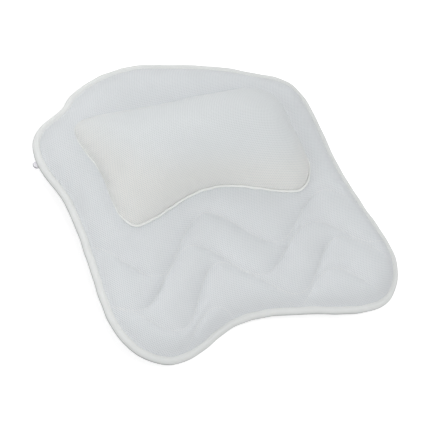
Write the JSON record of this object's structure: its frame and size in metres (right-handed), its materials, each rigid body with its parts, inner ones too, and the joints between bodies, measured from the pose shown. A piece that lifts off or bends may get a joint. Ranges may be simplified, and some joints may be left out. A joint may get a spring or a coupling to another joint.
{
  "type": "bath pillow",
  "caption": "Padded mesh bath pillow: wave-quilted mat with a rolled edge, a crowned head pillow and clear suction cups on its back.",
  "frame": {"origin": "middle of the footprint, on the plane of the suction cups' lips", "axes": "+X across the mat, +Y towards the head edge, +Z out of the bath wall towards the bather"},
  "size_m": [0.3898, 0.3757, 0.0813],
  "materials": {
    "mesh_fabric": "open white air mesh",
    "binding_tape": "white rolled tape",
    "spacer_core": "white spacer mesh",
    "clear_vinyl": "clear soft vinyl",
    "white_nylon": "white nylon"
  },
  "bodies": {
    "pillow": {"front_panel": "mesh_fabric", "pad_core": "spacer_core", "rear_panel": "mesh_fabric", "edge_binding": "binding_tape", "head_pillow_cover": "mesh_fabric", "head_pillow_core": "spacer_core", "head_pillow_piping": "binding_tape", "cup_grommet_1": "white_nylon", "grommet_washer_1": "white_nylon", "cup_patch_1": "binding_tape", "cup_grommet_2": "white_nylon", "grommet_washer_2": "white_nylon", "cup_patch_2": "binding_tape", "cup_grommet_3": "white_nylon", "grommet_washer_3": "white_nylon", "cup_patch_3": "binding_tape", "cup_grommet_4": "white_nylon", "grommet_washer_4": "white_nylon", "cup_patch_4": "binding_tape", "cup_grommet_5": "white_nylon", "grommet_washer_5": "white_nylon", "cup_patch_5": "binding_tape", "cup_grommet_6": "white_nylon", "grommet_washer_6": "white_nylon", "cup_patch_6": "binding_tape"},
    "cup_1": {"suction_cup_1": "clear_vinyl"},
    "cup_2": {"suction_cup_2": "clear_vinyl"},
    "cup_3": {"suction_cup_3": "clear_vinyl"},
    "cup_4": {"suction_cup_4": "clear_vinyl"},
    "cup_5": {"suction_cup_5": "clear_vinyl"},
    "cup_6": {"suction_cup_6": "clear_vinyl"}
  },
  "joints": [
    {"name": "cup_1_spin", "type": "hinge", "parent": "pillow", "child": "cup_1", "pos_m": [-0.146, 0.092, 0.0113], "axis": [0, 0, 1], "continuous": true},
    {"name": "cup_2_spin", "type": "hinge", "parent": "pillow", "child": "cup_2", "pos_m": [0.146, 0.092, 0.0113], "axis": [0, 0, 1], "continuous": true},
    {"name": "cup_3_spin", "type": "hinge", "parent": "pillow", "child": "cup_3", "pos_m": [-0.11, -0.018, 0.0113], "axis": [0, 0, 1], "continuous": true},
    {"name": "cup_4_spin", "type": "hinge", "parent": "pillow", "child": "cup_4", "pos_m": [0.11, -0.018, 0.0113], "axis": [0, 0, 1], "continuous": true},
    {"name": "cup_5_spin", "type": "hinge", "parent": "pillow", "child": "cup_5", "pos_m": [-0.132, -0.123, 0.0113], "axis": [0, 0, 1], "continuous": true},
    {"name": "cup_6_spin", "type": "hinge", "parent": "pillow", "child": "cup_6", "pos_m": [0.132, -0.123, 0.0113], "axis": [0, 0, 1], "continuous": true}
  ]
}
